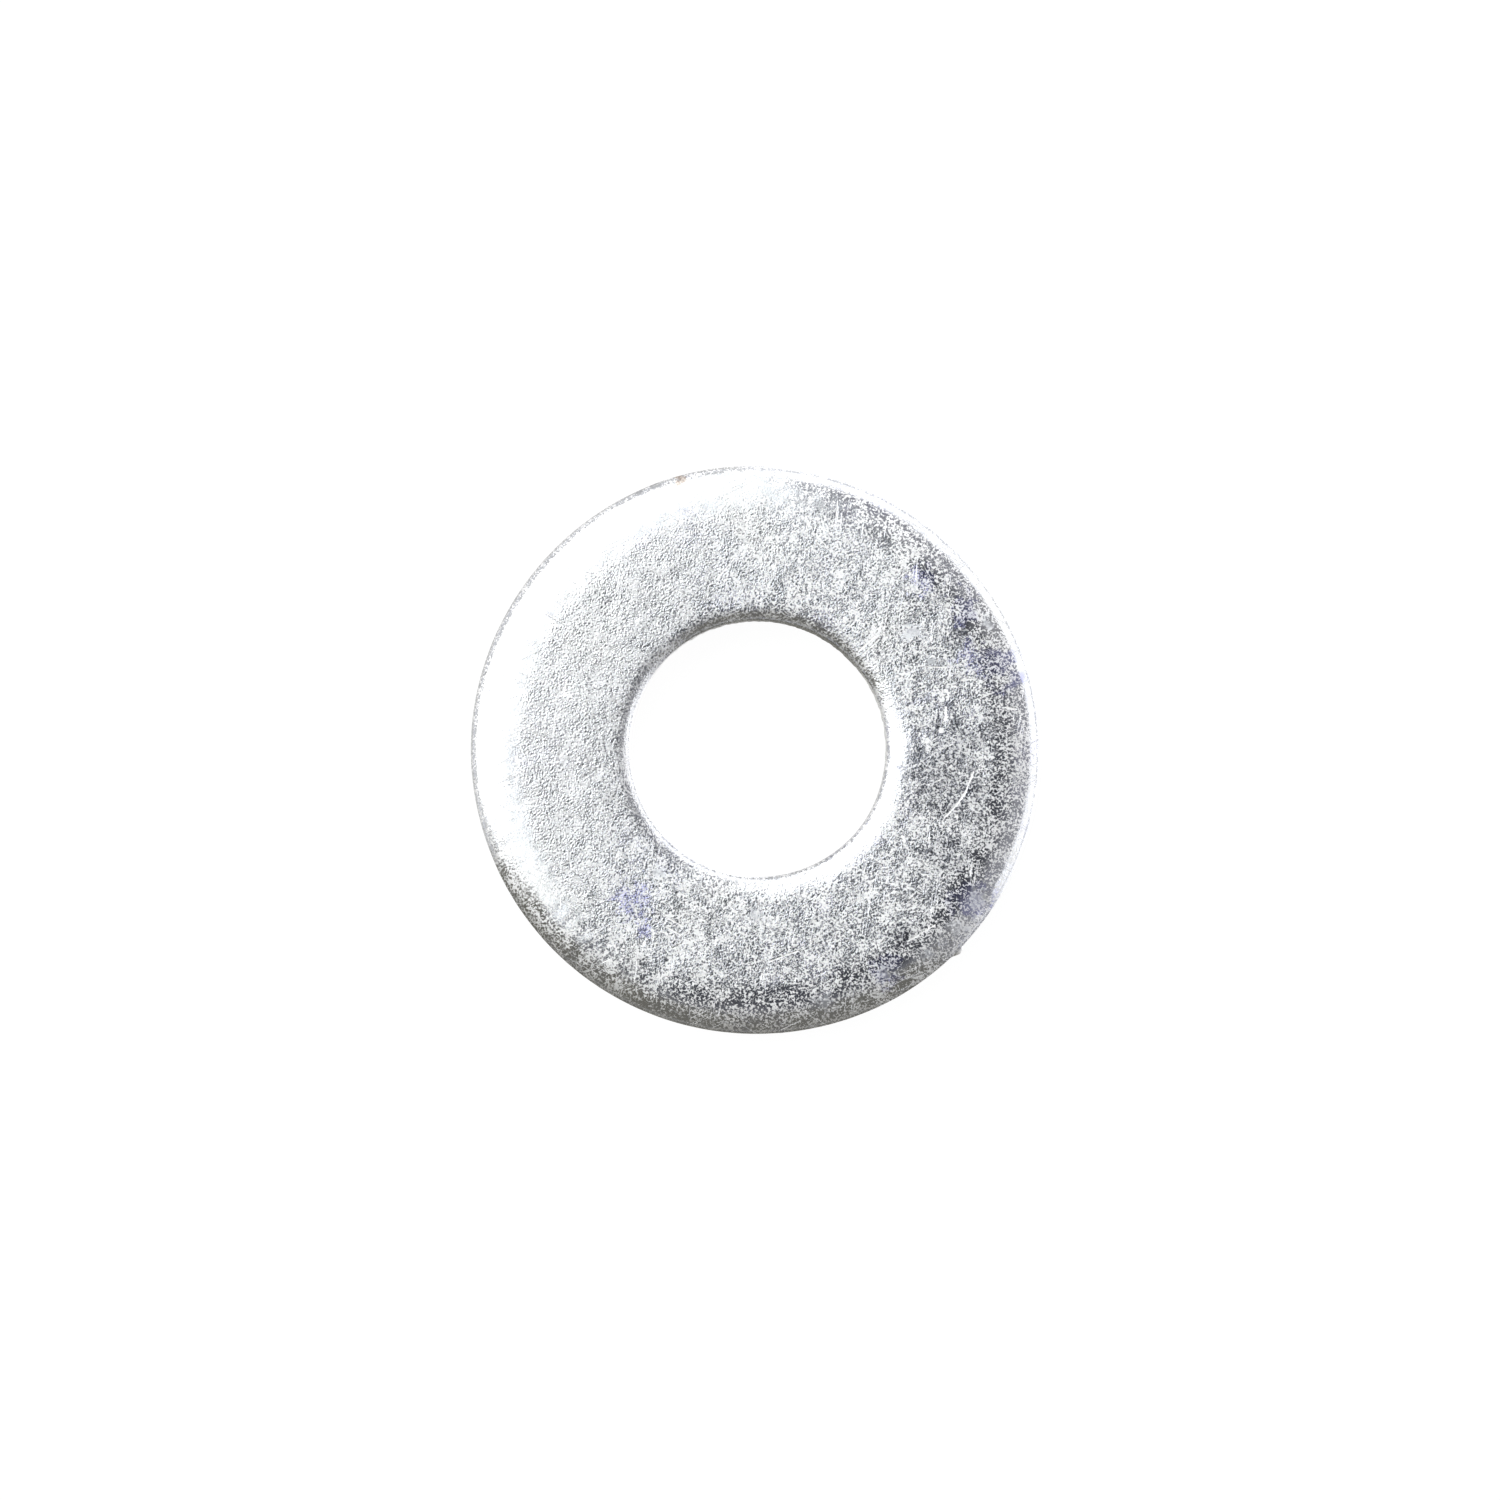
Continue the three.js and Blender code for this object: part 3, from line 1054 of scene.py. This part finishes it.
front = both(below(18, 27), sector(259, 56, 62))
horizon_strip = calc(sky, "SUBTRACT", below(79, 84), below(96, 101))
seam = both(horizon_strip, lessened(sky, front, FRONT_OVER_SEAM))
panels = [
    # mask and colour, each painted over the ones before it; all angles are in degrees
    (below(6, 27), SHADE),
    (both(below(46, 53), sector(87, 110, 120)), WALL),
    (cap(*SOFT_BOX_AT, 45.2, 50.2), SOFT_EDGE),
    (cap(*SOFT_BOX_AT, 28, 42), SOFT_BOX),
    (below(150, 168), UNDER),
    (both(below(61, 70), sector(146, 52, 62)), HORIZON),
    (both(below(44, 52), sector(200, 7, 13)), HORIZON),
    (front, FRONT),
    (seam, SEAM),
]
light = CEILING
for mask, panel in panels:
    light = mix(sky, mask, light, panel)
seen = add(sky, "ShaderNodeLightPath").outputs["Is Camera Ray"]
backdrop = add(sky, "ShaderNodeBackground",
               {"Color": mix(sky, seen, light, (1, 1, 1, 1)), "Strength": 1.0})
add(sky, "ShaderNodeOutputWorld", {"Surface": backdrop.outputs[0]})

# %% [markdown]
# ## The camera
#
# The camera looks almost straight down from a hand's length above, leaning three degrees to the
# near left, so the far wall of the hole just shows. The lens is chosen so that the frame is a
# little over two and a half washers wide.

# %% Set the camera
FRAME_WIDTH = 41.67 * MM
CAMERA_DISTANCE = 180 * MM
LEAN = 3.2
LEAN_HEADING = 242
AIM = (-0.181 * MM, -0.042 * MM, thickness)

camera_data = bpy.data.cameras.new("camera")
camera = bpy.data.objects.new("camera", camera_data)
bpy.context.scene.collection.objects.link(camera)
camera_data.lens = camera_data.sensor_width * CAMERA_DISTANCE / FRAME_WIDTH
camera_data.clip_start = 5 * MM
camera_data.clip_end = 10.0
back_axis = np.array(aslant(LEAN_HEADING, LEAN))
camera.location = np.array(AIM) + CAMERA_DISTANCE * back_axis
right_axis = np.cross((0, 1, 0), back_axis)
right_axis /= np.linalg.norm(right_axis)
up_axis = np.cross(back_axis, right_axis)
camera.rotation_euler = Matrix(np.stack([right_axis, up_axis, back_axis], axis=1)).to_euler()
bpy.context.scene.camera = camera
bpy.context.scene.view_settings.view_transform = "Standard"
print(f"camera: {camera_data.lens:.0f} mm lens, {CAMERA_DISTANCE / MM:.0f} mm away")
